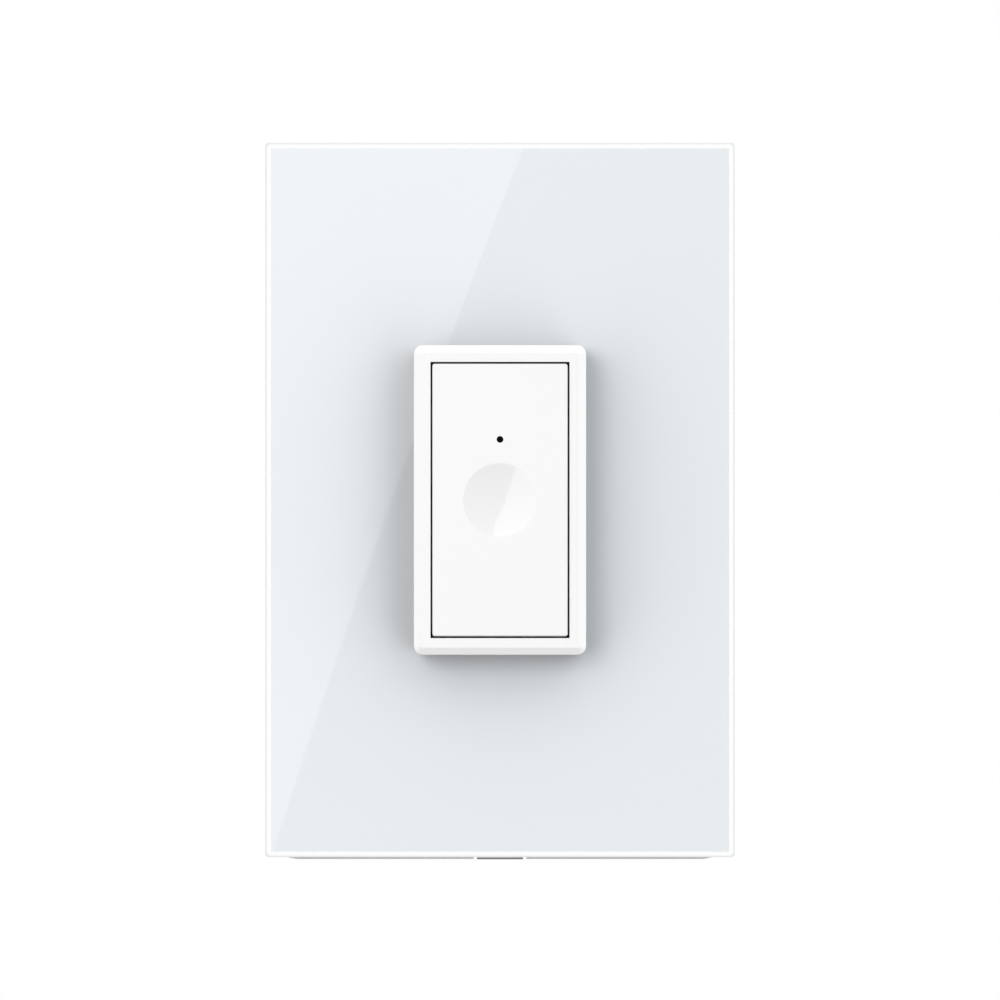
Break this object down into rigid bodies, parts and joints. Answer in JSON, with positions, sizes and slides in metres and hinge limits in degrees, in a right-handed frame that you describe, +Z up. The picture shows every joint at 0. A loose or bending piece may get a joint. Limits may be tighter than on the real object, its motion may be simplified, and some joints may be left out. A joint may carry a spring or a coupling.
{
  "type": "touch light switch",
  "caption": "Wall light switch: upright glass plate on a clipped carrier, raised bezel with a soft-touch key, finger dish and indicator, switching insert behind.",
  "frame": {"origin": "centre of the plate on the wall plane, where the carrier's rear rim and the yoke's rear face meet the wall", "axes": "+Z up along the plate's long side, +Y into the wall, the front faces -Y, +X to the right seen from the front"},
  "size_m": [0.0768, 0.0425, 0.1176],
  "materials": {
    "painted_glass": "back-painted, polished",
    "foam_tape": "foam",
    "carrier_plastic": "fine matt",
    "zinc_steel": "zinc plated",
    "white_plastic": "satin gloss",
    "dark_lens": "polished, dark",
    "spring_steel": "drawn wire",
    "board_laminate": "lacquered",
    "black_component": "moulded",
    "led_plastic": "moulded",
    "housing_plastic": "fine matt",
    "relay_plastic": "moulded",
    "can_aluminium": "drawn can",
    "film_plastic": "moulded",
    "varistor_coating": "dipped",
    "terminal_plastic": "moulded",
    "terminal_brass": "machined",
    "screw_steel": "plated"
  },
  "bodies": {
    "switch_body": {"glass_panel": "painted_glass", "adhesive_frame": "foam_tape", "plate_carrier": "carrier_plastic", "mounting_yoke": "zinc_steel", "bezel": "white_plastic", "return_spring_upper": "spring_steel", "return_spring_lower": "spring_steel", "control_board": "board_laminate", "tact_switch": "black_component", "indicator_led": "led_plastic", "controller_chip": "black_component", "board_header": "black_component", "chassis": "housing_plastic", "rear_housing": "housing_plastic", "power_board": "board_laminate", "relay": "relay_plastic", "electrolytic_capacitor": "can_aluminium", "film_capacitor": "film_plastic", "varistor": "varistor_coating", "fuse": "led_plastic", "terminal_block": "terminal_plastic", "terminal_clamp_1": "terminal_brass", "terminal_clamp_2": "terminal_brass", "terminal_clamp_3": "terminal_brass", "terminal_screw_1": "screw_steel", "terminal_screw_2": "screw_steel", "terminal_screw_3": "screw_steel", "housing_screw_1": "screw_steel", "housing_screw_2": "screw_steel", "housing_screw_3": "screw_steel", "housing_screw_4": "screw_steel", "box_screw_upper": "screw_steel", "box_screw_lower": "screw_steel"},
    "touch_key": {"key": "white_plastic", "indicator_lens": "dark_lens"},
    "plunger": {"tact_plunger": "black_component"}
  },
  "joints": [
    {"name": "key_press", "type": "slide", "parent": "switch_body", "child": "touch_key", "axis": [0, 1, 0], "range_m": [0, 0.0006], "stiffness_N_per_m": 600, "springref_m": -0.002, "deforming": ["return_spring_upper", "return_spring_lower"]},
    {"name": "plunger_press", "type": "slide", "parent": "switch_body", "child": "plunger", "axis": [0, 1, 0], "range_m": [0, 0.0006]}
  ],
  "couplings": [
    {"joint": "plunger_press", "follows": "key_press", "ratio": 1}
  ]
}
